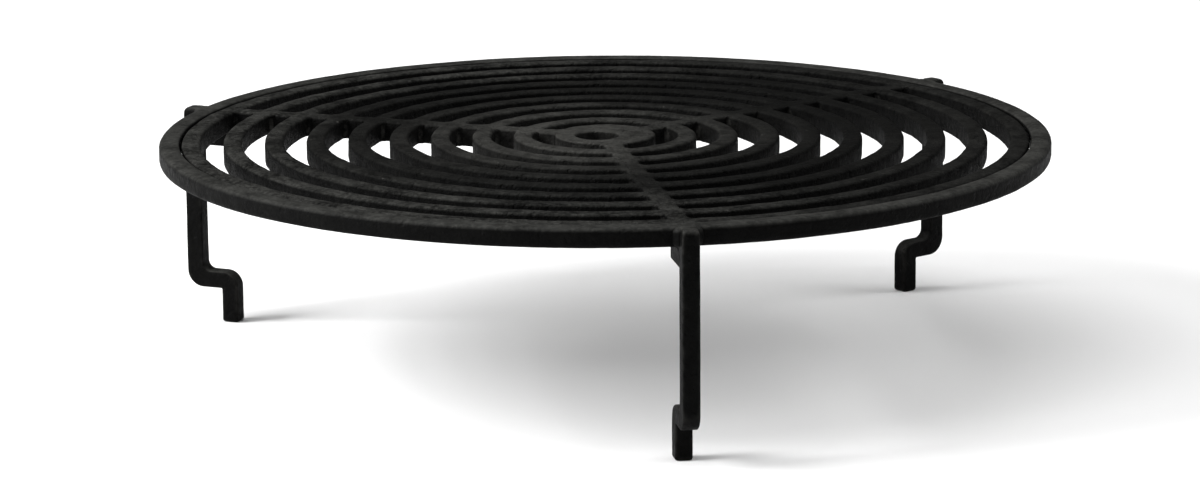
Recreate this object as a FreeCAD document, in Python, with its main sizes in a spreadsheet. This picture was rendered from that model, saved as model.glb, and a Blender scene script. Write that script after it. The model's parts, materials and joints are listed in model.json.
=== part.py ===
import FreeCAD, Part
import os

import Sketcher

# Raised round cooking grate for the opening of a fire plate. A loose grate of concentric bars and three
# spokes lies on three shelves inside a support ring, and three cranked legs carry the ring.
#
# Frame: millimetres, +Z up. The origin is on the rings' common axis, at the level of the pegs' ends.
# The front leg points towards -Y. Each leg, shelf and spoke is drawn along +X and then turned about Z.

SIZES = {
    "total_height": 109.0,
    # support ring
    "ring_outer_radius": 215.0,
    "ring_width": 9.7,
    "ring_height": 9.3,
    "ring_outer_round": 2.0,
    "ring_inner_round": 0.8,
    # grate
    "grate_outer_radius": 204.2,
    "grate_height": 9.9,
    "grate_drop": 0.4,
    "bar_pitch": 20.0,
    "bar_width": 9.0,
    "bar_round": 1.0,
    "spoke_width": 9.5,
    "eye_radius": 10.5,
    "eye_offset": 5.0,
    # cranked legs
    "leg_width": 8.0,
    "leg_depth": 8.6,
    "leg_edge_round": 0.8,
    "leg_top_round": 3.0,
    "crank_offset": 18.7,
    "step_level": 17.2,
    "elbow_outer_round": 8.5,
    "elbow_inner_round": 4.5,
    "peg_shoulder_round": 8.0,
    "peg_end_round": 1.8,
    # shelves under the grate
    "shelf_inner_radius": 194.0,
    "shelf_height": 8.4,
    "shelf_end_round": 0.8,
    # weld beads
    "bead_radius": 3.2,
    "bead_margin": 0.8,
}
SHEET = "Sizes"
DIRECTIONS = {"front": -90.0, "left": 150.0, "right": 30.0}
BAR_COUNT = 8
TOLERANCE = 0.001

# Levels and radii that several sub-parts share, as formulas of the sheet.
RING_TOP = "Sizes.total_height"
RING_BOTTOM = "(Sizes.total_height - Sizes.ring_height)"
RING_INNER = "(Sizes.ring_outer_radius - Sizes.ring_width)"
GRATE_TOP = "(Sizes.total_height - Sizes.grate_drop)"
GRATE_BOTTOM = "(Sizes.total_height - Sizes.grate_drop - Sizes.grate_height)"
RIM_INNER = "(Sizes.grate_outer_radius - Sizes.bar_width)"
HUB_RADIUS = f"(Sizes.grate_outer_radius - {BAR_COUNT + 1} * Sizes.bar_pitch)"
LEG_INNER = "Sizes.ring_outer_radius"
LEG_OUTER = "(Sizes.ring_outer_radius + Sizes.leg_depth)"
PEG_INNER = f"({LEG_INNER} - Sizes.crank_offset)"
PEG_OUTER = f"({LEG_OUTER} - Sizes.crank_offset)"
STEP_TOP = "(Sizes.step_level + Sizes.leg_depth)"


def make_sheet(doc):
    """Puts the driving dimensions in a spreadsheet, one aliased cell each."""
    sheet = doc.addObject("Spreadsheet::Sheet", SHEET)
    for row, (alias, value) in enumerate(SIZES.items(), start=1):
        sheet.set(f"A{row}", alias.replace("_", " "))
        sheet.set(f"B{row}", str(value))
        sheet.setAlias(f"B{row}", alias)
    doc.recompute()
    return sheet


def value_of(doc, formula):
    """The number that a formula of the sheet gives."""
    result = doc.getObject(SHEET).evalExpression(formula)
    return float(getattr(result, "Value", result))


def about_z(angle):
    """A rotation about Z by an angle in degrees."""
    return FreeCAD.Rotation(FreeCAD.Vector(0, 0, 1), angle)


def make_body(doc, name, angle=0.0):
    """An empty PartDesign body, turned about Z."""
    body = doc.addObject("PartDesign::Body", name)
    body.Label = name
    body.Placement = FreeCAD.Placement(FreeCAD.Vector(0, 0, 0), about_z(angle))
    return body


def make_outline(body, name, plane_role, corners):
    """A closed sketch of straight lines, whose corners are held at formulas of the sheet."""
    sketch = body.newObject("Sketcher::SketchObject", name)
    plane = next(o for o in body.Origin.OriginFeatures if o.Role == plane_role)
    sketch.AttachmentSupport = (plane, "")
    sketch.MapMode = "FlatFace"
    doc = body.Document
    points = [FreeCAD.Vector(value_of(doc, x), value_of(doc, y), 0) for x, y in corners]
    for start, end in zip(points, points[1:] + points[:1]):
        sketch.addGeometry(Part.LineSegment(start, end), False)
    for index in range(len(points)):
        following = (index + 1) % len(points)
        sketch.addConstraint(Sketcher.Constraint("Coincident", index, 2, following, 1))
    for index, (x, y) in enumerate(corners):
        for kind, formula, number in (("DistanceX", x, points[index].x), ("DistanceY", y, points[index].y)):
            held = sketch.addConstraint(Sketcher.Constraint(kind, -1, 1, index, 1, number))
            sketch.renameConstraint(held, f"{kind}{index}")
            sketch.setExpression(f"Constraints.{kind}{index}", formula)
    doc.recompute()
    return sketch


def rectangle(x_low, x_high, y_low, y_high):
    """The corners of a rectangle from its four formulas."""
    return [(x_low, y_low), (x_high, y_low), (x_high, y_high), (x_low, y_high)]


def revolve(body, sketch):
    """Turns a sketch of the XZ plane once round the Z axis."""
    feature = body.newObject("PartDesign::Revolution", f"{body.Name}_turned")
    feature.Profile = sketch
    feature.ReferenceAxis = (sketch, ["V_Axis"])
    feature.Angle = 360.0
    body.Document.recompute()
    return feature


def pad_both_ways(body, sketch, width):
    """Pads a sketch by half the width to each side of its plane."""
    feature = body.newObject("PartDesign::Pad", f"{body.Name}_padded")
    feature.Profile = sketch
    feature.Midplane = True
    feature.setExpression("Length", width)
    body.Document.recompute()
    return feature


def round_edges(body, base, name, radius, wanted):
    """Rounds the edges of a feature that a test picks."""
    edges = [f"Edge{n}" for n, edge in enumerate(base.Shape.Edges, start=1) if wanted(edge)]
    if not edges:
        raise RuntimeError(f"{body.Name}: no edge for {name}")
    feature = body.newObject("PartDesign::Fillet", f"{body.Name}_{name}")
    feature.Base = (base, edges)
    feature.setExpression("Radius", radius)
    body.Document.recompute()
    return feature


def is_circle_of(radius):
    """A test for circular edges about Z of one radius."""
    return lambda edge: (
        isinstance(edge.Curve, Part.Circle) and abs(edge.Curve.Radius - radius) < TOLERANCE
    )


def is_across_at(x, z):
    """A test for edges along Y through one point of the XZ plane."""

    def test(edge):
        middle = edge.CenterOfMass
        box = edge.BoundBox
        along_y = box.XLength < TOLERANCE and box.ZLength < TOLERANCE
        return along_y and abs(middle.x - x) < TOLERANCE and abs(middle.z - z) < TOLERANCE

    return test


def is_on_side(half_width):
    """A test for edges that lie in either side face, at plus or minus half the width in Y."""

    def test(edge):
        box = edge.BoundBox
        return box.YLength < TOLERANCE and abs(abs(edge.CenterOfMass.y) - half_width) < TOLERANCE

    return test


def make_ring(doc, name, inner, outer, bottom, top, rounds):
    """A whole ring of rectangular section. rounds maps a name to (edge radius formula, ring radius)."""
    body = make_body(doc, name)
    sketch = make_outline(body, f"{name}_section", "XZ_Plane", rectangle(inner, outer, bottom, top))
    feature = revolve(body, sketch)
    for label, (edge_round, circle) in rounds.items():
        radius = value_of(doc, circle)
        feature = round_edges(body, feature, label, edge_round, is_circle_of(radius))
    return body


def make_support_ring(doc):
    """The outer ring, whose outer edges are rounder than its inner ones."""
    rounds = {
        "outer_round": ("Sizes.ring_outer_round", "Sizes.ring_outer_radius"),
        "inner_round": ("Sizes.ring_inner_round", RING_INNER),
    }
    return make_ring(
        doc, "support_ring", RING_INNER, "Sizes.ring_outer_radius", RING_BOTTOM, RING_TOP, rounds
    )


def make_grate_rim(doc):
    """The grate's own outer ring, which lies on the shelves."""
    rounds = {
        "outer_round": ("Sizes.bar_round", "Sizes.grate_outer_radius"),
        "inner_round": ("Sizes.bar_round", RIM_INNER),
    }
    return make_ring(doc, "grate_rim", RIM_INNER, "Sizes.grate_outer_radius", GRATE_BOTTOM, GRATE_TOP, rounds)


def make_leg(doc, side, angle):
    """A cranked leg: a bar beside the ring, a step that bears on the plate, and a peg below it."""
    corners = [
        (LEG_INNER, RING_TOP),
        (LEG_OUTER, RING_TOP),
        (LEG_OUTER, "Sizes.step_level"),
        (PEG_OUTER, "Sizes.step_level"),
        (PEG_OUTER, "0"),
        (PEG_INNER, "0"),
        (PEG_INNER, STEP_TOP),
        (LEG_INNER, STEP_TOP),
    ]
    body = make_body(doc, f"leg_{side}", angle)
    sketch = make_outline(body, f"leg_{side}_outline", "XZ_Plane", corners)
    feature = pad_both_ways(body, sketch, "Sizes.leg_width")
    bends = {
        "top_round": ("Sizes.leg_top_round", [(LEG_OUTER, RING_TOP)]),
        "elbow_outside": ("Sizes.elbow_outer_round", [(LEG_OUTER, "Sizes.step_level")]),
        "elbow_inside": ("Sizes.elbow_inner_round", [(LEG_INNER, STEP_TOP)]),
        "peg_shoulder": ("Sizes.peg_shoulder_round", [(PEG_INNER, STEP_TOP)]),
        "peg_end": ("Sizes.peg_end_round", [(PEG_INNER, "0"), (PEG_OUTER, "0")]),
    }
    for label, (radius, places) in bends.items():
        tests = [is_across_at(value_of(doc, x), value_of(doc, z)) for x, z in places]
        feature = round_edges(body, feature, label, radius, lambda edge: any(t(edge) for t in tests))
    half_width = value_of(doc, "Sizes.leg_width / 2")
    round_edges(body, feature, "edge_round", "Sizes.leg_edge_round", is_on_side(half_width))
    return body


def make_shelf(doc, side, angle):
    """A short bar from the leg inward under the ring, on which the grate's rim lies."""
    body = make_body(doc, f"shelf_{side}", angle)
    bottom = f"({GRATE_BOTTOM} - Sizes.shelf_height)"
    corners = rectangle("Sizes.shelf_inner_radius", LEG_INNER, bottom, GRATE_BOTTOM)
    sketch = make_outline(body, f"shelf_{side}_outline", "XZ_Plane", corners)
    feature = pad_both_ways(body, sketch, "Sizes.leg_width")
    end = value_of(doc, "Sizes.shelf_inner_radius")

    def at_inner_end(edge):
        return edge.BoundBox.XLength < TOLERANCE and abs(edge.CenterOfMass.x - end) < TOLERANCE

    round_edges(body, feature, "end_round", "Sizes.shelf_end_round", at_inner_end)
    return body


def add_cylinder(doc, name, radius, bottom, height):
    """A cylinder about Z from formulas of the sheet."""
    cylinder = doc.addObject("Part::Cylinder", name)
    cylinder.setExpression("Radius", radius)
    cylinder.setExpression("Height", height)
    cylinder.setExpression("Placement.Base.z", bottom)
    return cylinder


def add_bar(doc, name, start, length, width, bottom, height, angle):
    """A straight bar whose centre line is turned about Z by an angle."""
    bar = doc.addObject("Part::Box", name)
    bar.setExpression("Length", length)
    bar.setExpression("Width", width)
    bar.setExpression("Height", height)
    bar.Placement.Rotation = about_z(angle)
    along, across = f"({start})", f"({width} / 2)"
    bar.setExpression("Placement.Base.x", f"{along} * cos({angle} deg) + {across} * sin({angle} deg)")
    bar.setExpression("Placement.Base.y", f"{along} * sin({angle} deg) - {across} * cos({angle} deg)")
    bar.setExpression("Placement.Base.z", bottom)
    return bar


def add_cut(doc, name, base, tool):
    """The base without the tool."""
    cut = doc.addObject("Part::Cut", name)
    cut.Base = base
    cut.Tool = tool
    return cut


def add_fuse(doc, name, shapes):
    """Several shapes in one."""
    fuse = doc.addObject("Part::MultiFuse", name)
    fuse.Shapes = shapes
    return fuse


def round_circles(doc, name, base):
    """The base with the round of the grate's bars on each of its circular edges."""
    doc.recompute()
    edge_round = value_of(doc, "Sizes.bar_round")
    eased = doc.addObject("Part::Fillet", name)
    eased.Base = base
    eased.Edges = [
        (n, edge_round, edge_round)
        for n, edge in enumerate(base.Shape.Edges, start=1)
        if isinstance(edge.Curve, Part.Circle)
    ]
    return eased


def make_ring_bar(doc, number, spoke_gaps):
    """One concentric bar: a ring with rounded edges, cut into three arcs where the spokes pass."""
    name = f"ring_bar_{number}"
    outer = f"(Sizes.grate_outer_radius - {number} * Sizes.bar_pitch)"
    outside = add_cylinder(doc, f"{name}_outside", outer, GRATE_BOTTOM, "Sizes.grate_height")
    inside = add_cylinder(
        doc, f"{name}_inside", f"{outer} - Sizes.bar_width", GRATE_BOTTOM, "Sizes.grate_height"
    )
    ring = add_cut(doc, f"{name}_ring", outside, inside)
    eased = round_circles(doc, f"{name}_eased", ring)
    bar = add_cut(doc, name, eased, spoke_gaps)
    bar.Label = name
    return bar


def make_spoke(doc, side, angle):
    """A spoke from the hub to the rim, with ends that follow both."""
    name = f"spoke_{side}"
    bar = add_bar(
        doc, f"{name}_bar", "0", RIM_INNER, "Sizes.spoke_width", GRATE_BOTTOM, "Sizes.grate_height", angle
    )
    reach = add_cylinder(doc, f"{name}_reach", RIM_INNER, GRATE_BOTTOM, "Sizes.grate_height")
    hub_place = add_cylinder(doc, f"{name}_hub_place", HUB_RADIUS, GRATE_BOTTOM, "Sizes.grate_height")
    within = doc.addObject("Part::Common", f"{name}_within_rim")
    within.Base = bar
    within.Tool = reach
    spoke = add_cut(doc, name, within, hub_place)
    spoke.Label = name
    return spoke


def make_hub(doc):
    """The middle disc, with a round eye that is set off from the axis, away from the right spoke."""
    disc = add_cylinder(doc, "hub_disc", HUB_RADIUS, GRATE_BOTTOM, "Sizes.grate_height")
    bore = add_cylinder(doc, "hub_bore", "Sizes.eye_radius", GRATE_BOTTOM, "Sizes.grate_height")
    away = DIRECTIONS["right"] + 180.0
    bore.setExpression("Placement.Base.x", f"Sizes.eye_offset * cos({away} deg)")
    bore.setExpression("Placement.Base.y", f"Sizes.eye_offset * sin({away} deg)")
    hub = round_circles(doc, "hub", add_cut(doc, "hub_opened", disc, bore))
    hub.Label = "hub"
    return hub


def make_welds(doc):
    """Beads in the corners between each leg and the ring, and between the ring and each shelf."""
    beads = []
    legs = []
    height = "(Sizes.ring_height - 2 * Sizes.bead_margin)"
    level = f"({RING_BOTTOM} + Sizes.bead_margin)"
    for side, angle in DIRECTIONS.items():
        for hand, sign in (("a", 1), ("b", -1)):
            bead = add_cylinder(doc, f"bead_{side}_{hand}", "Sizes.bead_radius", level, height)
            across = f"({sign} * Sizes.leg_width / 2)"
            bead.setExpression(
                "Placement.Base.x", f"{LEG_INNER} * cos({angle} deg) - {across} * sin({angle} deg)"
            )
            bead.setExpression(
                "Placement.Base.y", f"{LEG_INNER} * sin({angle} deg) + {across} * cos({angle} deg)"
            )
            beads.append(bead)
        legs.append(
            add_bar(
                doc,
                f"leg_place_{side}",
                f"{LEG_INNER} - Sizes.bead_radius",
                "Sizes.leg_depth + Sizes.bead_radius",
                "Sizes.leg_width",
                RING_BOTTOM,
                "Sizes.ring_height",
                angle,
            )
        )
    packings = [
        add_bar(
            doc,
            f"packing_{side}",
            f"{RING_INNER} + Sizes.bead_margin",
            "Sizes.ring_width - 2 * Sizes.bead_margin",
            "Sizes.leg_width",
            GRATE_BOTTOM,
            f"{RING_BOTTOM} - {GRATE_BOTTOM}",
            angle,
        )
        for side, angle in DIRECTIONS.items()
    ]
    ring_place = add_cylinder(doc, "ring_place", "Sizes.ring_outer_radius", RING_BOTTOM, "Sizes.ring_height")
    places = add_fuse(doc, "bead_limits", [ring_place] + legs)
    whole_beads = add_fuse(doc, "whole_beads", beads)
    trimmed = add_cut(doc, "trimmed_beads", whole_beads, places)
    welds = doc.addObject("Part::Compound", "leg_welds")
    welds.Label = "leg_welds"
    welds.Links = [trimmed] + packings
    return welds


def make_all(doc):
    """Every sub-part, in the order of assembly."""
    parts = [make_support_ring(doc)]
    for side, angle in DIRECTIONS.items():
        parts.append(make_leg(doc, side, angle))
        parts.append(make_shelf(doc, side, angle))
    parts.append(make_welds(doc))
    parts.append(make_grate_rim(doc))
    gaps = [
        add_bar(
            doc,
            f"spoke_gap_{side}",
            "0",
            "Sizes.grate_outer_radius",
            "Sizes.spoke_width",
            GRATE_BOTTOM,
            "Sizes.grate_height",
            angle,
        )
        for side, angle in DIRECTIONS.items()
    ]
    spoke_gaps = add_fuse(doc, "spoke_gaps", gaps)
    parts += [make_ring_bar(doc, number, spoke_gaps) for number in range(1, BAR_COUNT + 1)]
    parts.append(make_hub(doc))
    parts += [make_spoke(doc, side, angle) for side, angle in DIRECTIONS.items()]
    doc.recompute()
    return parts


def check(doc, parts):
    """Stops on any failed object or bad shape."""
    for item in doc.Objects:
        if "Invalid" in item.State or "Error" in item.State:
            raise RuntimeError(f"{item.Name} failed: {item.State}")
    for part in parts:
        if part.Shape.isNull() or not part.Shape.isValid() or not part.Shape.Solids:
            raise RuntimeError(f"{part.Label} has a bad shape")


def main():
    doc = FreeCAD.newDocument("raised_grate")
    make_sheet(doc)
    parts = make_all(doc)
    check(doc, parts)
    os.makedirs("parts", exist_ok=True)
    for part in parts:
        part.Shape.exportStep(f"parts/{part.Label}.step")
        print(f"{part.Label}: {len(part.Shape.Solids)} solid(s), {part.Shape.Volume:.0f} mm3")


main()
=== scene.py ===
import json
import math

import bpy
import numpy as np
from mathutils import Matrix, Vector, noise


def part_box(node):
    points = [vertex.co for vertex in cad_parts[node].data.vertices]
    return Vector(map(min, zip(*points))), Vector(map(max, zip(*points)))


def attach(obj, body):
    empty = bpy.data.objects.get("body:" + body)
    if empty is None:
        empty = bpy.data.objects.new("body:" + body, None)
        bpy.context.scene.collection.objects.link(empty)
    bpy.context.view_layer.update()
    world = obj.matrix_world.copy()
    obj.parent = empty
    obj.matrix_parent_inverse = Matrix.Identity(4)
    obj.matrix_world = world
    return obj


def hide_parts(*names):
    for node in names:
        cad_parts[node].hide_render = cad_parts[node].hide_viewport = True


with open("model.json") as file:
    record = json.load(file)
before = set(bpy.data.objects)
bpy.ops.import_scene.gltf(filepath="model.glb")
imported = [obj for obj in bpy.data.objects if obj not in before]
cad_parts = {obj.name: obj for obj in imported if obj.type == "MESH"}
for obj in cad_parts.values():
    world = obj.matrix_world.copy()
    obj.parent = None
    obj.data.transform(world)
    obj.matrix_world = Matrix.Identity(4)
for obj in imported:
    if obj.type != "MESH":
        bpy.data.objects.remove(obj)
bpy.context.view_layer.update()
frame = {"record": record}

# Looks for the raised round cooking grate: cast bars and spokes in a loose grate, inside a support ring on
# three cranked legs. Metres, in the CAD frame: the rings' axis is Z, and the pegs stand on z = 0.

MM = 0.001
FULL_TURN = 2 * math.pi
QUARTER_TURN = math.pi / 2
DIRECTIONS = {"front": math.radians(-90), "left": math.radians(150), "right": math.radians(30)}
SIDES = ("front", "right", "left")

# Sizes that the CAD boxes don't give.
BAR_COUNT = 8
BAR_WIDTH = 9.0 * MM
RING_WIDTH = 9.7 * MM
SPOKE_WIDTH = 9.5 * MM
EYE_RADIUS = 10.5 * MM
EYE_OFFSET = 5.0 * MM

# The rounds at a section's corners: low outer, high outer, high inner and low inner.
BAR_ROUNDS = (0.9 * MM, 1.3 * MM, 1.3 * MM, 0.9 * MM)
RING_ROUNDS = (2.0 * MM, 2.0 * MM, 0.8 * MM, 0.8 * MM)
HUB_ROUNDS = (1.0 * MM,) * 4
LEG_ROUNDS = (0.9 * MM,) * 4
SHELF_ROUNDS = (0.8 * MM,) * 4
PACKING_ROUNDS = (0.5 * MM,) * 4

# The rounds along a leg from its top down, and where legs and shelves end.
TOP_INNER_ROUND = 0.8 * MM
TOP_OUTER_ROUND = 3.0 * MM
ELBOW_INNER_ROUND = 4.5 * MM
ELBOW_OUTER_ROUND = 8.5 * MM
SHOULDER_ROUND = 8.0 * MM
HEEL_ROUND = 0.6 * MM
PEG_END_ROUND = 1.6 * MM
LEG_END_ROUND = 1.2 * MM
SHELF_END_ROUND = 0.9 * MM

# Cast bars have fillets where they meet and tops that fall away to their edges. They run on into what they
# join, a little below its top.
FILLET = 2.4 * MM
CROWN = 0.3 * MM
OVERLAP = 2.0 * MM
SUNK = 0.04 * MM
SHELF_OVERLAP = 1.0 * MM

# How far the surfaces wander from the drawing: a slow wave and a finer grain, each (height, size).
CAST_SKIN = ((0.24 * MM, 16 * MM), (0.10 * MM, 5 * MM))
STEEL_SKIN = ((0.10 * MM, 22 * MM), (0.05 * MM, 5 * MM))

# How finely the shapes are meshed.
STATION = 2.0 * MM
CORNER_POINTS = 5
PLAIN_SIDE_POINTS = 3
BAR_SIDE_POINTS = 4
HUB_SIDE_POINTS = 9
HUB_STATIONS = 96
FILLET_SHARES = (0.05, 0.125, 0.25, 5 / 12, 2 / 3, 1.0)
TOP_POINTS = 7
STEM_POINTS = 40
BEND_POINTS = 10
PEG_POINTS = 8
TIP_POINTS = 6
BEND_CLEARANCE = 1.0 * MM
SHELF_END_SHARES = (0, 1 / 6, 1 / 2, 1)
SHELF_FIRST_STATION = 2.0 * MM
SHELF_STATIONS = 12

# The bead up each side of a leg, fading to a share of its size at both ends.
CORNER_BEAD_RADIUS = 3.1 * MM
CORNER_BEAD_MARGIN = 0.5 * MM
CORNER_BEAD_STATIONS = 40
CORNER_BEAD_POINTS = 24
CORNER_BEAD_FLATNESS = 1.5
CORNER_BEAD_FADE = 0.9 * CORNER_BEAD_RADIUS
CORNER_BEAD_END_SHARE = 0.3
CORNER_BEAD_UNEVENNESS = 0.07
LUMP_SIZE = 3.0 * MM

# The bead across the groove between the ring's top edge and the leg's.
TOP_BEAD_STATIONS = 24
TOP_BEAD_POINTS = 16
TOP_BEAD_REACH = 2.2 * MM
TOP_BEAD_HALF_HEIGHT = 0.95 * MM
TOP_BEAD_INSET = 0.5 * MM
TOP_BEAD_OVERHANG = 1.6 * MM
TOP_BEAD_TAPER = 0.9
TOP_BEAD_UNEVENNESS = 0.12
TOP_BEAD_LUMPS = 3.0

# The weld metal between ring and shelf, ribbed across.
PACKING_BITE = 0.3 * MM
PACKING_INNER_GAP = 1.0 * MM
PACKING_OUTER_GAP = 0.2 * MM
PACKING_SIDE_GAP = 0.2 * MM
PACKING_STATIONS = 12
RIB_PITCH = 1.6 * MM
RIB_SHARE = 0.05

# Where in the noise the beads' lumps are taken from, so that no two beads are alike.
SIDE_SPREAD = 10
HAND_SPREAD = 5.0

# The two irons. The first two colours are of the sides and the tops: painted shade on the sides, painted
# light on the tops. The third is for rubbed places, and also a painted highlight. patchiness is how uneven
# the colour is, from 0 to 1. The edge and hub shares are how much of the rubbed colour the edges and the
# middle get: rubbing where pans and a lifting hook touch them, and a painted highlight on the edges and
# painted light round the middle.
# right_side is how pale the right side's top stays, as a share of the left side's: painted shade.
CAST_IRON = {
    "shaded_side": (0.0016, 0.0016, 0.0015),
    "lit_top": (0.0155, 0.0155, 0.0144),
    "worn_and_lit_colour": (0.055, 0.054, 0.050),
    "roughness": (0.56, 0.78),
    "gloss": 0.03,
    "grain_height": 1.0 * MM,
    "patchiness": 0.95,
    "edge_wear_and_highlight": 1.0,
    "hub_wear_and_light": 0.45,
    # Painted shade: the right side's tops stay darker.
    "right_side": 0.34,
}
COATED_STEEL = {
    "shaded_side": (0.0018, 0.0018, 0.0017),
    "lit_top": (0.0185, 0.0185, 0.0172),
    "worn_and_lit_colour": (0.040, 0.039, 0.036),
    "roughness": (0.50, 0.68),
    "gloss": 0.04,
    "grain_height": 0.4 * MM,
    "patchiness": 0.6,
    "edge_wear_and_highlight": 0.35,
    "hub_wear_and_light": 0.0,
    "right_side": 1.0,
}

# What the irons have in common. A ramp is a list of (value, shade) stops. The zones' values are distances
# from the axis, and rightward ones are shares of a span from left to right. A range is the darkest and the
# palest that a colour gets, as shares of it.
UPWARD_RAMP = [(0.15, 0.0), (0.75, 1.0)]
# Tops painted darker halfway out and paler at the hub and rim: painted shade and painted light.
ZONE_RAMP = [(0.045, 1.0), (0.085, 0.25), (0.135, 0.20), (0.175, 1.0)]
ZONE_WANDER = 100 * MM
ZONE_WANDER_SIZE = 70 * MM
RIGHTWARD_SPAN = 400 * MM
# Tops painted darker towards the right: painted shade.
RIGHT_SHADE_ENDS = (0.4, 0.75)
PATCH_SIZE, PATCH_RAMP = 14 * MM, [(0.38, 0.0), (0.62, 1.0)]
GRAIN_SIZE, GRAIN_RAMP = 2.4 * MM, [(0.44, 0.0), (0.64, 1.0)]
EVEN_LIGHTNESS = 0.42
# Side colours darker as painted shade, top colours paler as painted light.
SHADED_SIDE_RANGE = (0.3, 2.2)
LIT_TOP_RANGE = (0.15, 2.4)
# Paler sharp edges: partly rubbed, partly a painted highlight.
EDGE_RAMP = [(0.507, 0.0), (0.530, 1.0)]
RUBBED_SIZE, RUBBED_RAMP = 7 * MM, [(0.42, 0.0), (0.66, 1.0)]
SPECK_SIZE, SPECK_RAMP, SPECK_SHARE = 4.2 * MM, [(0.69, 0.0), (0.76, 1.0)], 0.8
# Paler middle, on its sides too: partly rubbed by a lifting hook, partly painted light; darker on the hub's
# right as painted shade.
HUB_WEAR_REACH, HUB_WEAR_END = 28 * MM, 110 * MM
HUB_RIGHT_SHADE_RAMP = [(0.48, 1.0), (0.56, 0.35)]
RUBBED_WEAR, ANY_WEAR = 0.6, 0.55
TOP_WEAR, SIDE_WEAR = 0.6, 0.4
WORN_METALLIC = 0.30
WORN_ROUGHNESS = -0.15
SHEEN_SIZE, SHEEN_ENDS = 5 * MM, (0.3, 0.7)
GRIT_SIZE = 2.2 * MM
PIT_SIZE, PIT_RAMP, PIT_SHARE = 4.5 * MM, [(0.30, 0.0), (0.42, 1.0)], 0.5

# A Mix node has sockets for every kind of value. These are the ones for colours.
MIX_FACTOR, MIX_FIRST, MIX_SECOND, MIX_RESULT = 0, 6, 7, 2

# The floor and the light. Each light is a name, a place, a size and a power in watts.
FLOOR_HALF = 2.4
FLOOR_CELLS = 8
FLOOR_MOTTLE_SIZE = 0.8
FLOOR_RAMP = [(0.3, 0.81), (0.7, 0.84)]
FLOOR_ROUGHNESS = 0.9
FLOOR_GLOSS = 0.1
FLOOR_FADE_RAMP = [(0.5, 1.0), (0.95, 0.0)]
SURROUND_STRENGTH = 0.03
WHITE = (1, 1, 1, 1)
LIGHTS = (
    ("overhead", (-0.3, 0.0, 2.4), 2.6, 70),
    ("left_side", (-2.2, 0.0, 1.35), 1.2, 105),
    ("right_side", (2.2, 0.1, 1.35), 1.2, 24),
)

# The camera: where it stands as seen from the middle of the ring, and how it is turned there.
CAMERA_AZIMUTH = math.radians(-9.613)
CAMERA_ELEVATION = math.radians(11.176)
CAMERA_DISTANCE = 2.15
LOOK_DOWN = math.radians(12.587)
LOOK_ASIDE = math.radians(-0.077)
CAMERA_ROLL = math.radians(-0.383)
SENSOR_WIDTH = 36.0
LENS = 133.28
CLIP_NEAR, CLIP_FAR = 0.05, 60.0


# ---------------------------------------------------------------- sections and meshes


def rounded_section(width, height, radii, side_points=PLAIN_SIDE_POINTS, crown=0.0):
    """A closed rounded rectangle round its own middle, as an array of (across, up), anticlockwise.

    radii are the corner radii at (low right, high right, high left, low left). A crown lets the top fall
    away towards its two edges by that much.
    """
    half_w, half_h = width / 2, height / 2
    corners = (
        (half_w, -half_h, radii[0], -QUARTER_TURN),
        (half_w, half_h, radii[1], 0.0),
        (-half_w, half_h, radii[2], QUARTER_TURN),
        (-half_w, -half_h, radii[3], math.pi),
    )
    arcs = []
    for x, y, radius, start in corners:
        centre = np.array([x - math.copysign(radius, x), y - math.copysign(radius, y)])
        turns = start + np.linspace(0, QUARTER_TURN, CORNER_POINTS)
        arcs.append(centre + radius * np.column_stack([np.cos(turns), np.sin(turns)]))
    points = []
    for arc, following in zip(arcs, arcs[1:] + arcs[:1]):
        points.extend(arc)
        shares = np.linspace(0, 1, side_points + 2)[1:-1, None]
        points.extend(arc[-1] * (1 - shares) + following[0] * shares)
    points = np.array(points)
    upper = np.clip(points[:, 1] / half_h, 0.0, 1.0)
    points[:, 1] -= crown * upper * (points[:, 0] / half_w) ** 2
    return points


def bar_section(width, height):
    """The section of a cast bar."""
    return rounded_section(width, height, BAR_ROUNDS, side_points=BAR_SIDE_POINTS, crown=CROWN)


def swept_mesh(rows, closed=False):
    """Vertices and faces through rows of points, one row per station, capped at the ends unless closed."""
    count, columns = len(rows), len(rows[0])
    vertices = np.concatenate(rows)
    faces = []
    for row in range(count if closed else count - 1):
        here, there = row * columns, ((row + 1) % count) * columns
        for column in range(columns):
            beside = (column + 1) % columns
            faces.append((here + column, there + column, there + beside, here + beside))
    if not closed:
        middles = np.array([rows[0].mean(axis=0), rows[-1].mean(axis=0)])
        first, last = len(vertices), len(vertices) + 1
        vertices = np.concatenate([vertices, middles])
        end = (count - 1) * columns
        for column in range(columns):
            beside = (column + 1) % columns
            faces.append((first, column, beside))
            faces.append((last, end + beside, end + column))
    return vertices, faces


def joined(meshes):
    """Several (vertices, faces) in one."""
    vertices, faces, offset = [], [], 0
    for points, polygons in meshes:
        vertices.append(points)
        faces.extend(tuple(index + offset for index in face) for face in polygons)
        offset += len(points)
    return np.concatenate(vertices), faces


def turned(geometry, side):
    """A mesh drawn along +X, turned about Z to one of the three sides."""
    points, faces = geometry
    cos, sin = math.cos(DIRECTIONS[side]), math.sin(DIRECTIONS[side])
    x, y, z = points[..., 0], points[..., 1], points[..., 2]
    return np.stack([x * cos - y * sin, x * sin + y * cos, z], axis=-1), faces


def round_off(radius, distance):
    """How far a quarter round of this radius still stands off its side, at this distance from its start."""
    short = max(radius - max(distance, 0.0), 0.0)
    return radius - math.sqrt(max(radius**2 - short**2, 0.0))


def fractal(point):
    """Smooth noise from about -1 to 1, with features about one unit across."""
    smoothness, finer, octaves = 1.0, 2.0, 2
    return noise.fractal(Vector(point), smoothness, finer, octaves)


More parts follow.
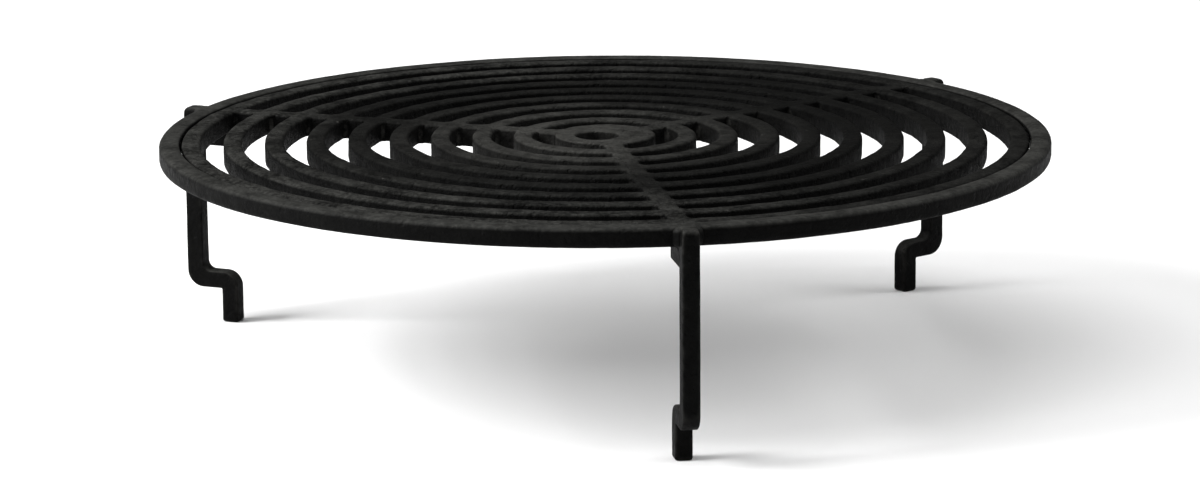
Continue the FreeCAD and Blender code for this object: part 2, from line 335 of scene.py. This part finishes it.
def roughened(mesh, skin):
    """Moves each vertex along its normal, by each (height, size) of a skin."""
    normals = np.array([v.normal for v in mesh.vertices])
    points = np.array([v.co for v in mesh.vertices])
    for height, size in skin:
        moves = np.array([fractal(Vector(point) / size) for point in points])
        points = points + normals * (height * moves)[:, None]
    mesh.vertices.foreach_set("co", points.astype(np.float32).ravel())
    mesh.update()


def make_piece(name, geometry, body, nodes, material, skin):
    """A finished piece: smooth, cast-rough, riding on its body in place of its CAD nodes."""
    vertices, faces = geometry
    mesh = bpy.data.meshes.new(name)
    mesh.from_pydata([tuple(v) for v in vertices], [], faces)
    mesh.update()
    mesh.validate()
    roughened(mesh, skin)
    mesh.polygons.foreach_set("use_smooth", [True] * len(mesh.polygons))
    piece = bpy.data.objects.new(name, mesh)
    bpy.context.scene.collection.objects.link(piece)
    piece.data.materials.append(material)
    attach(piece, body)
    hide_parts(*nodes)


# ---------------------------------------------------------------- grate


def whole_ring(section, middle, level):
    """A section swept all the way round, with its middle at this radius and level."""
    radius, level = middle + section[:, 0], level + section[:, 1]
    stations = round(FULL_TURN * middle / STATION)
    rows = []
    for angle in np.arange(stations) * FULL_TURN / stations:
        rows.append(np.column_stack([radius * math.cos(angle), radius * math.sin(angle), level]))
    return swept_mesh(rows[::-1], closed=True)


def run_stations(length):
    """Distances along a bar between two joints, closer together at its fillets, and on into both joints."""
    near = np.concatenate([[-OVERLAP, -OVERLAP / 2, 0.0], FILLET * np.array(FILLET_SHARES)])
    middle = np.linspace(FILLET, length - FILLET, max(round((length - 2 * FILLET) / STATION), 2) + 1)
    return np.concatenate([near[:-1], middle, length - near[-2::-1]])


def flared_section(width, low, high, distance, length):
    """A bar's section at this distance along it, and the levels of its points."""
    wide = round_off(FILLET, min(distance, length - distance))
    section = bar_section(width + 2 * wide, high - low)
    sunk = SUNK if distance < 0 or distance > length else 0.0
    return section, (low + high) / 2 + section[:, 1] - sunk


def bar_arc(inner, outer, low, high, start, end):
    """One arc of a concentric bar, from the side of one spoke to the side of the next."""
    rows = []
    middle = (inner + outer) / 2
    length = middle * (end - start) - SPOKE_WIDTH
    for distance in run_stations(length):
        section, level = flared_section(outer - inner, low, high, distance, length)
        radius = middle + section[:, 0]
        # The ends are parallel to the spokes' sides, so each radius has its own share of the turn.
        aside = np.arcsin(SPOKE_WIDTH / 2 / radius)
        share = distance / length
        angle = (start + aside) * (1 - share) + (end - aside) * share
        rows.append(np.column_stack([radius * np.cos(angle), radius * np.sin(angle), level]))
    return swept_mesh(rows[::-1])


def concentric_bar(number):
    """The three arcs of one bar."""
    low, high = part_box(f"ring_bar_{number}")
    outer = high.x
    starts = [DIRECTIONS[side] for side in SIDES]
    ends = starts[1:] + [starts[0] + FULL_TURN]
    arcs = []
    for start, end in zip(starts, ends):
        arcs.append(bar_arc(outer - BAR_WIDTH, outer, low.z, high.z, start, end))
    return joined(arcs)


def spoke(side):
    """A straight bar from the hub to the rim, with a fillet at each end."""
    low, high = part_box(f"spoke_{side}")
    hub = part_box("hub")[1].x
    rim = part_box("grate_rim")[1].x - BAR_WIDTH
    rows = []
    for distance in run_stations(rim - hub):
        section, level = flared_section(SPOKE_WIDTH, low.z, high.z, distance, rim - hub)
        # Its inner end follows the hub's round face.
        bulge = hub - np.sqrt(hub**2 - section[:, 0] ** 2) if distance <= 0 else 0.0
        along = np.full(len(section), hub + distance) - bulge
        rows.append(np.column_stack([along, section[:, 0], level]))
    return turned(swept_mesh(rows), side)


def hub_disc():
    """The middle disc with its round eye, as a closed band from the eye's edge to the disc's edge."""
    low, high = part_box("hub")
    radius = high.x
    away = DIRECTIONS["right"] + math.pi
    centre = EYE_OFFSET * np.array([math.cos(away), math.sin(away)])
    rows = []
    for angle in np.arange(HUB_STATIONS) * FULL_TURN / HUB_STATIONS:
        ray = np.array([math.cos(angle), math.sin(angle)])
        along = float(centre @ ray)
        reach = -along + math.sqrt(along**2 + radius**2 - EYE_OFFSET**2)
        section = rounded_section(reach - EYE_RADIUS, high.z - low.z, HUB_ROUNDS, HUB_SIDE_POINTS)
        flat = centre + ((EYE_RADIUS + reach) / 2 + section[:, :1]) * ray
        level = (low.z + high.z) / 2 + section[:, 1:]
        rows.append(np.hstack([flat, level]))
    return swept_mesh(rows[::-1], closed=True)


# ---------------------------------------------------------------- stand


def frame_mount(name):
    """Where the record says that a mount is."""
    return Vector(next(m["pos_m"] for m in frame["record"]["mounts"] if m["name"] == name))


def bend(x, z, radius, start, end, count=BEND_POINTS):
    """Points (radius, level) along an arc round (x, z), between two directions in degrees."""
    turns = np.linspace(math.radians(start), math.radians(end), count)
    return [(x + radius * math.cos(t), z + radius * math.sin(t)) for t in turns]


def drop(x, high, low, count):
    """Points (radius, level) straight down at one radius."""
    return [(x, high + (low - high) * share) for share in np.linspace(0, 1, count)]


def crank_outlines():
    """The leg's two outlines in its own plane, as matched points (radius, level) from top to bottom."""
    low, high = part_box("leg_front")
    face_in, face_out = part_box("support_ring")[1].x, -low.y
    depth = face_out - face_in
    peg_in = -high.y
    peg_out = peg_in + depth
    step_low = frame_mount("step_front").z
    step_high = step_low + depth
    stem_top = high.z - TOP_OUTER_ROUND - TOP_INNER_ROUND
    elbow_in, elbow_out = step_high + ELBOW_INNER_ROUND, step_low + ELBOW_OUTER_ROUND
    shoulder, heel = step_high - SHOULDER_ROUND, step_low - HEEL_ROUND
    peg_low = PEG_END_ROUND + BEND_CLEARANCE
    inner = [
        *bend(face_in + TOP_INNER_ROUND, high.z - TOP_INNER_ROUND, TOP_INNER_ROUND, 90, 180, TOP_POINTS),
        *drop(face_in, stem_top, elbow_in + BEND_CLEARANCE, STEM_POINTS),
        *bend(face_in - ELBOW_INNER_ROUND, elbow_in, ELBOW_INNER_ROUND, 0, -90),
        *bend(peg_in + SHOULDER_ROUND, shoulder, SHOULDER_ROUND, 90, 180),
        *drop(peg_in, shoulder - BEND_CLEARANCE, peg_low, PEG_POINTS),
        *bend(peg_in + PEG_END_ROUND, PEG_END_ROUND, PEG_END_ROUND, 180, 270, TIP_POINTS),
    ]
    outer = [
        *bend(face_out - TOP_OUTER_ROUND, high.z - TOP_OUTER_ROUND, TOP_OUTER_ROUND, 90, 0, TOP_POINTS),
        *drop(face_out, stem_top, elbow_out + BEND_CLEARANCE, STEM_POINTS),
        *bend(face_out - ELBOW_OUTER_ROUND, elbow_out, ELBOW_OUTER_ROUND, 0, -90),
        *bend(peg_out + HEEL_ROUND, heel, HEEL_ROUND, 90, 180),
        *drop(peg_out, heel - BEND_CLEARANCE, peg_low, PEG_POINTS),
        *bend(peg_out - PEG_END_ROUND, PEG_END_ROUND, PEG_END_ROUND, 0, -90, TIP_POINTS),
    ]
    return inner, outer


def leg(side):
    """A cranked bar of rounded section."""
    inner, outer = crank_outlines()
    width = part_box("leg_front")[1].x * 2
    rows = []
    top, bottom = inner[0][1], inner[-1][1]
    for (x1, z1), (x2, z2) in zip(inner, outer):
        depth = math.hypot(x2 - x1, z2 - z1)
        section = rounded_section(depth, width, LEG_ROUNDS)
        # The bar's two ends are rounded across its width as well.
        narrow = round_off(LEG_END_ROUND, min(top - z1, z1 - bottom))
        share = section[:, 0] / depth + 0.5
        across = section[:, 1] * (1 - 2 * narrow / width)
        rows.append(np.column_stack([x1 + (x2 - x1) * share, across, z1 + (z2 - z1) * share]))
    return turned(swept_mesh(rows), side)


def shelf(side):
    """The short bar under the ring, square at its inner end, and running on into the leg."""
    low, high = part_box("shelf_front")
    start, end, width = -high.y, -low.y, high.x - low.x
    inner_end = SHELF_END_ROUND * np.array(SHELF_END_SHARES)
    onward = np.linspace(SHELF_FIRST_STATION, end - start + SHELF_OVERLAP, SHELF_STATIONS)
    rows = []
    for reach in np.concatenate([inner_end, onward]):
        shrink = round_off(SHELF_END_ROUND, reach)
        section = rounded_section(width - 2 * shrink, high.z - low.z - 2 * shrink, SHELF_ROUNDS)
        along = np.full(len(section), start + reach)
        rows.append(np.column_stack([along, section[:, 0], (low.z + high.z) / 2 + section[:, 1]]))
    return turned(swept_mesh(rows), side)


def flattened(wave):
    """A sine or cosine with its rounds flattened, for a section between a disc and a diamond."""
    return np.sign(wave) * np.abs(wave) ** CORNER_BEAD_FLATNESS


def corner_bead(side, hand):
    """A low, slightly lumpy bead up the corner between a leg's side and the ring."""
    ring_low, ring_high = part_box("support_ring")
    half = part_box("leg_front")[1].x
    lowest, highest = ring_low.z + CORNER_BEAD_MARGIN, ring_high.z - CORNER_BEAD_MARGIN
    turns = np.arange(CORNER_BEAD_POINTS) * FULL_TURN / CORNER_BEAD_POINTS
    rows = []
    for level in np.linspace(lowest, highest, CORNER_BEAD_STATIONS):
        fade = 1 - round_off(1.0, min(level - lowest, highest - level) / CORNER_BEAD_FADE)
        fade = fade * (1 - CORNER_BEAD_END_SHARE) + CORNER_BEAD_END_SHARE
        lumpy = fractal((DIRECTIONS[side] * SIDE_SPREAD, hand * HAND_SPREAD, level / LUMP_SIZE))
        size = CORNER_BEAD_RADIUS * fade * (1 + CORNER_BEAD_UNEVENNESS * (lumpy - 1))
        x = ring_high.x + size * flattened(np.cos(turns))
        y = hand * half + size * flattened(np.sin(turns))
        rows.append(np.column_stack([x, y, np.full(len(turns), level)]))
    return turned(swept_mesh(rows), side)


def top_bead(side):
    """The weld metal that levels the groove between the ring's top edge and the leg's."""
    ring_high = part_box("support_ring")[1]
    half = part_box("leg_front")[1].x + TOP_BEAD_OVERHANG
    turns = np.arange(TOP_BEAD_POINTS) * FULL_TURN / TOP_BEAD_POINTS
    rows = []
    for across in np.linspace(-1, 1, TOP_BEAD_STATIONS):
        size = math.sqrt(1 - TOP_BEAD_TAPER * across**2)
        lumpy = fractal((DIRECTIONS[side] * SIDE_SPREAD, 0.0, across * TOP_BEAD_LUMPS))
        reach = TOP_BEAD_REACH * size * (1 + TOP_BEAD_UNEVENNESS * lumpy)
        x = ring_high.x - TOP_BEAD_INSET + reach * np.cos(turns)
        z = ring_high.z + TOP_BEAD_HALF_HEIGHT * (size * np.sin(turns) - 1)
        rows.append(np.column_stack([x, np.full(len(turns), across * half), z]))
    return turned(swept_mesh(rows), side)


def packing_bead(side):
    """The weld metal between the ring's underside and the shelf."""
    ring_low, ring_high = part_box("support_ring")
    shelf_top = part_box("shelf_front")[1].z
    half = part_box("leg_front")[1].x - PACKING_SIDE_GAP
    low, high = shelf_top - PACKING_BITE, ring_low.z + PACKING_BITE
    start, end = ring_high.x - RING_WIDTH + PACKING_INNER_GAP, ring_high.x - PACKING_OUTER_GAP
    section = rounded_section(2 * half, high - low, PACKING_ROUNDS)
    rows = []
    for along in np.linspace(start, end, PACKING_STATIONS):
        across = section[:, 0] * (1 + RIB_SHARE * math.cos(FULL_TURN * along / RIB_PITCH))
        level = (low + high) / 2 + section[:, 1]
        rows.append(np.column_stack([np.full(len(section), along), across, level]))
    return turned(swept_mesh(rows), side)


# ---------------------------------------------------------------- materials


class Nodes:
    """A material's node tree, with short calls to add and join nodes."""

    def __init__(self, name):
        self.material = bpy.data.materials.new(name)
        self.material.use_nodes = True
        self.tree = self.material.node_tree
        self.surface = self.tree.nodes["Principled BSDF"]
        self.place = self.add("ShaderNodeTexCoord").outputs["Object"]

    def add(self, kind, **settings):
        """A new node."""
        node = self.tree.nodes.new(kind)
        for key, value in settings.items():
            setattr(node, key, value)
        return node

    def join(self, output, socket):
        """Links an output to an input."""
        self.tree.links.new(output, socket)

    def noise(self, size, detail=4.0, roughness=0.55, distortion=0.0):
        """Noise with features of about this size in metres, from 0 to 1."""
        node = self.add("ShaderNodeTexNoise")
        self.join(self.place, node.inputs["Vector"])
        node.inputs["Scale"].default_value = 1.0 / size
        node.inputs["Detail"].default_value = detail
        node.inputs["Roughness"].default_value = roughness
        node.inputs["Distortion"].default_value = distortion
        return node.outputs["Fac"]

    def ramp(self, value, stops):
        """Maps a value through (value, shade) stops."""
        node = self.add("ShaderNodeValToRGB")
        self.join(value, node.inputs["Fac"])
        elements = node.color_ramp.elements
        while len(elements) < len(stops):
            elements.new(1.0)
        for element, (place, shade) in zip(elements, stops):
            element.position = place
            element.color = (shade, shade, shade, 1)
        return node.outputs["Color"]

    def calculate(self, operation, a, b):
        """Joins two values by a math operation; either may be a number."""
        node = self.add("ShaderNodeMath", operation=operation)
        for socket, value in zip(node.inputs, (a, b)):
            if isinstance(value, (int, float)):
                socket.default_value = value
            else:
                self.join(value, socket)
        return node.outputs[0]

    def product(self, *values):
        """The values, multiplied."""
        first, *others = values
        for other in others:
            first = self.calculate("MULTIPLY", first, other)
        return first

    def linear(self, value, slope, offset):
        """The value times a slope, plus an offset."""
        return self.calculate("ADD", self.product(value, slope), offset)

    def separated(self, vector):
        """A vector's three parts, by name."""
        node = self.add("ShaderNodeSeparateXYZ")
        self.join(vector, node.inputs[0])
        return node.outputs

    def from_axis(self):
        """The distance in metres from the rings' axis."""
        flat = self.add("ShaderNodeVectorMath", operation="MULTIPLY")
        flat.inputs[1].default_value = (1.0, 1.0, 0.0)
        self.join(self.place, flat.inputs[0])
        length = self.add("ShaderNodeVectorMath", operation="LENGTH")
        self.join(flat.outputs[0], length.inputs[0])
        return length.outputs["Value"]

    def mix(self, factor, a, b):
        """Mixes two colours by a factor; either may be a plain colour."""
        node = self.add("ShaderNodeMix", data_type="RGBA")
        self.join(factor, node.inputs[MIX_FACTOR])
        for socket, value in zip((node.inputs[MIX_FIRST], node.inputs[MIX_SECOND]), (a, b)):
            if isinstance(value, tuple):
                socket.default_value = (*value, 1)
            else:
                self.join(value, socket)
        return node.outputs[MIX_RESULT]

    def bump(self, height, distance, under=None):
        """A full bump of this distance in metres, on top of an earlier one."""
        node = self.add("ShaderNodeBump")
        node.inputs["Distance"].default_value = distance
        node.inputs["Strength"].default_value = 1.0
        self.join(height, node.inputs["Height"])
        if under is not None:
            self.join(under, node.inputs["Normal"])
        return node.outputs["Normal"]


def painted_shade_zone(nodes, rightward, right_side):
    """How much of the top colour the tops show: painted shade halfway out from the axis and towards the
    right, painted light at the hub and rim.
    """
    wander = nodes.calculate("SUBTRACT", nodes.noise(ZONE_WANDER_SIZE, detail=3.0), 0.5)
    place = nodes.calculate("ADD", nodes.from_axis(), nodes.product(wander, ZONE_WANDER))
    # Painted shade towards the right side.
    right_shade = nodes.ramp(rightward, list(zip(RIGHT_SHADE_ENDS, (1.0, right_side))))
    return nodes.product(nodes.ramp(place, ZONE_RAMP), right_shade)


def range_of(colour, shares):
    """A colour at its darkest and at its palest."""
    return [tuple(share * c for c in colour) for share in shares]


def skin_colour(nodes, facing_up, zone, shaded_side, lit_top, patchiness):
    """Painted shade on the sides and painted light on the tops, uneven in patches and in grains."""
    patches = nodes.ramp(nodes.noise(PATCH_SIZE, detail=6.0, roughness=0.65), PATCH_RAMP)
    grains = nodes.ramp(nodes.noise(GRAIN_SIZE, detail=4.0, roughness=0.7), GRAIN_RAMP)
    both = nodes.calculate("ADD", patches, grains)
    lightness = nodes.linear(both, patchiness / 2, EVEN_LIGHTNESS * (1 - patchiness))
    sides = nodes.mix(lightness, *range_of(shaded_side, SHADED_SIDE_RANGE))
    tops = nodes.mix(nodes.product(lightness, zone), *range_of(lit_top, LIT_TOP_RANGE))
    return nodes.mix(facing_up, sides, tops)


def wear_and_highlight_share(nodes, pointiness, facing_up, rightward, edge_wear_and_highlight, hub_wear_and_light):
    """Where edges and the middle have been rubbed, which also paints a highlight on the edges and light
    round the middle, and here and there a burnished speck.
    """
    rubbed = nodes.ramp(nodes.noise(RUBBED_SIZE, detail=6.0, roughness=0.65), RUBBED_RAMP)
    # Rubbed edges, also a painted highlight.
    edges = nodes.product(nodes.ramp(pointiness, EDGE_RAMP), rubbed, edge_wear_and_highlight)
    specks = nodes.ramp(nodes.noise(SPECK_SIZE, detail=4.0, roughness=0.6, distortion=0.4), SPECK_RAMP)
    specks = nodes.product(specks, SPECK_SHARE, facing_up)
    # The paler middle is partly rubbing and partly painted light, with painted shade on its right.
    middle = nodes.product(
        nodes.ramp(nodes.from_axis(), [(0.0, hub_wear_and_light), (HUB_WEAR_REACH, hub_wear_and_light), (HUB_WEAR_END, 0.0)]),
        nodes.linear(rubbed, RUBBED_WEAR, ANY_WEAR),
        nodes.linear(facing_up, TOP_WEAR, SIDE_WEAR),
        nodes.ramp(rightward, HUB_RIGHT_SHADE_RAMP),
    )
    return nodes.calculate("MAXIMUM", edges, nodes.calculate("MAXIMUM", specks, middle))


def skin_relief(nodes, grain_height):
    """Sandy grit and shallow pits."""
    grit = nodes.bump(nodes.noise(GRIT_SIZE, detail=4.0, roughness=0.65), grain_height)
    pits = nodes.ramp(nodes.noise(PIT_SIZE, detail=3.0), PIT_RAMP)
    return nodes.bump(pits, grain_height * PIT_SHARE, under=grit)


def iron(name, shaded_side, lit_top, worn_and_lit_colour, roughness, gloss, grain_height, patchiness, edge_wear_and_highlight, hub_wear_and_light,
         right_side):
    """Matte black iron: painted shade on its sides, painted light on top, with a sandy skin and rubbed edges
    that also carry a painted highlight.
    """
    nodes = Nodes(name)
    geometry = nodes.add("ShaderNodeNewGeometry")
    # Tops paler and sides darker by which way they face: painted light and painted shade.
    facing_up = nodes.ramp(nodes.separated(geometry.outputs["Normal"])["Z"], UPWARD_RAMP)
    rightward = nodes.linear(nodes.separated(nodes.place)["X"], 1 / RIGHTWARD_SPAN, 0.5)
    zone = painted_shade_zone(nodes, rightward, right_side)
    colour = skin_colour(nodes, facing_up, zone, shaded_side, lit_top, patchiness)
    wear_and_highlight_mask = wear_and_highlight_share(nodes, geometry.outputs["Pointiness"], facing_up, rightward, edge_wear_and_highlight, hub_wear_and_light)
    uneven = nodes.ramp(nodes.noise(SHEEN_SIZE, detail=5.0, roughness=0.6), list(zip(SHEEN_ENDS, roughness)))
    surface = nodes.surface.inputs
    # The rubbed colour is partly rubbing and partly painted highlight and painted light.
    nodes.join(nodes.mix(wear_and_highlight_mask, colour, worn_and_lit_colour), surface["Base Color"])
    nodes.join(nodes.product(wear_and_highlight_mask, WORN_METALLIC), surface["Metallic"])
    nodes.join(nodes.calculate("ADD", uneven, nodes.product(wear_and_highlight_mask, WORN_ROUGHNESS)), surface["Roughness"])
    surface["Specular IOR Level"].default_value = gloss
    nodes.join(skin_relief(nodes, grain_height), surface["Normal"])
    return nodes.material


def floor_material():
    """A plain pale floor, solid from above, which fades out into the white backdrop far from the object."""
    nodes = Nodes("floor_paper")
    shade = nodes.ramp(nodes.noise(FLOOR_MOTTLE_SIZE, detail=2.0), FLOOR_RAMP)
    nodes.join(shade, nodes.surface.inputs["Base Color"])
    nodes.surface.inputs["Roughness"].default_value = FLOOR_ROUGHNESS
    nodes.surface.inputs["Specular IOR Level"].default_value = FLOOR_GLOSS
    near = nodes.ramp(nodes.calculate("DIVIDE", nodes.from_axis(), FLOOR_HALF), FLOOR_FADE_RAMP)
    lower_side = nodes.add("ShaderNodeNewGeometry").outputs["Backfacing"]
    upper_side = nodes.calculate("SUBTRACT", 1.0, lower_side)
    chooser = nodes.add("ShaderNodeMixShader")
    nodes.join(nodes.product(near, upper_side), chooser.inputs[0])
    nodes.join(nodes.add("ShaderNodeBsdfTransparent").outputs[0], chooser.inputs[1])
    nodes.join(nodes.surface.outputs[0], chooser.inputs[2])
    nodes.join(chooser.outputs[0], nodes.tree.nodes["Material Output"].inputs["Surface"])
    return nodes.material


# ---------------------------------------------------------------- object


def build_object():
    """Every visible piece."""
    cast = iron("cast_iron", **CAST_IRON)
    coated = iron("coated_steel", **COATED_STEEL)

    def grate_piece(name, geometry):
        make_piece(f"{name}_cast", geometry, "grate", [name], cast, CAST_SKIN)

    def stand_piece(name, geometry):
        make_piece(f"{name}_coated", geometry, "stand", [name], coated, STEEL_SKIN)

    low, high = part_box("grate_rim")
    section = bar_section(BAR_WIDTH, high.z - low.z)
    grate_piece("grate_rim", whole_ring(section, high.x - BAR_WIDTH / 2, (low.z + high.z) / 2))
    for number in range(1, BAR_COUNT + 1):
        grate_piece(f"ring_bar_{number}", concentric_bar(number))
    for side in SIDES:
        grate_piece(f"spoke_{side}", spoke(side))
    grate_piece("hub", hub_disc())

    low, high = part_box("support_ring")
    section = rounded_section(RING_WIDTH, high.z - low.z, RING_ROUNDS, BAR_SIDE_POINTS, CROWN)
    stand_piece("support_ring", whole_ring(section, high.x - RING_WIDTH / 2, (low.z + high.z) / 2))
    for side in SIDES:
        stand_piece(f"leg_{side}", leg(side))
        stand_piece(f"shelf_{side}", shelf(side))
    beads = [corner_bead(side, hand) for side in SIDES for hand in (-1, 1)]
    beads += [top_bead(side) for side in SIDES] + [packing_bead(side) for side in SIDES]
    stand_piece("leg_welds", joined(beads))


# ---------------------------------------------------------------- floor, light and camera


def make_floor():
    """A wide pale floor that the pegs stand on."""
    ticks = np.linspace(-FLOOR_HALF, FLOOR_HALF, FLOOR_CELLS + 1)
    vertices = [(x, y, 0.0) for y in ticks for x in ticks]
    faces = []
    for row in range(FLOOR_CELLS):
        for column in range(FLOOR_CELLS):
            first = row * (FLOOR_CELLS + 1) + column
            beyond = first + FLOOR_CELLS + 1
            faces.append((first, first + 1, beyond + 1, beyond))
    mesh = bpy.data.meshes.new("floor")
    mesh.from_pydata(vertices, [], faces)
    floor = bpy.data.objects.new("floor", mesh)
    bpy.context.scene.collection.objects.link(floor)
    floor.data.materials.append(floor_material())


def add_area_light(name, place, size, power):
    """A soft square light that faces the middle of the grate."""
    data = bpy.data.lights.new(name, "AREA")
    data.size = size
    data.energy = power
    lamp = bpy.data.objects.new(name, data)
    bpy.context.scene.collection.objects.link(lamp)
    lamp.location = place
    aim = Vector((0.0, 0.0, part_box("hub")[1].z)) - Vector(place)
    lamp.rotation_mode = "QUATERNION"
    lamp.rotation_quaternion = aim.to_track_quat("-Z", "Y")


def make_world():
    """A dim surround for the light, which the camera sees as plain white."""
    world = bpy.data.worlds.new("studio")
    world.use_nodes = True
    tree = world.node_tree
    backdrop = tree.nodes["Background"]
    backdrop.inputs["Color"].default_value = WHITE
    surround = tree.nodes.new("ShaderNodeBackground")
    surround.inputs["Color"].default_value = WHITE
    surround.inputs["Strength"].default_value = SURROUND_STRENGTH
    chooser = tree.nodes.new("ShaderNodeMixShader")
    rays = tree.nodes.new("ShaderNodeLightPath")
    tree.links.new(rays.outputs["Is Camera Ray"], chooser.inputs["Fac"])
    tree.links.new(surround.outputs["Background"], chooser.inputs[1])
    tree.links.new(backdrop.outputs["Background"], chooser.inputs[2])
    tree.links.new(chooser.outputs["Shader"], tree.nodes["World Output"].inputs["Surface"])
    bpy.context.scene.world = world


def set_camera():
    """A long lens from a little above, at the photograph's angle."""
    data = bpy.data.cameras.new("camera")
    data.sensor_width = SENSOR_WIDTH
    data.lens = LENS
    data.clip_start, data.clip_end = CLIP_NEAR, CLIP_FAR
    camera = bpy.data.objects.new("camera", data)
    bpy.context.scene.collection.objects.link(camera)
    middle = Vector((0.0, 0.0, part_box("support_ring")[1].z))
    back = Vector((math.sin(CAMERA_AZIMUTH), -math.cos(CAMERA_AZIMUTH), 0.0)) * math.cos(CAMERA_ELEVATION)
    camera.location = middle + (back + Vector((0.0, 0.0, math.sin(CAMERA_ELEVATION)))) * CAMERA_DISTANCE
    heading = LOOK_ASIDE - CAMERA_AZIMUTH
    forward = Vector((math.sin(heading), math.cos(heading), 0.0)) * math.cos(LOOK_DOWN)
    forward.z = -math.sin(LOOK_DOWN)
    right = Vector((math.cos(heading), -math.sin(heading), 0.0))
    up = right.cross(forward)
    level_right = math.cos(CAMERA_ROLL) * right + math.sin(CAMERA_ROLL) * up
    level_up = -math.sin(CAMERA_ROLL) * right + math.cos(CAMERA_ROLL) * up
    turn = Matrix((level_right, level_up, -forward)).transposed()
    camera.rotation_mode = "QUATERNION"
    camera.rotation_quaternion = turn.to_quaternion()
    bpy.context.scene.camera = camera


build_object()
make_floor()
make_world()
for light in LIGHTS:
    add_area_light(*light)
set_camera()
bpy.context.scene.view_settings.view_transform = "Standard"
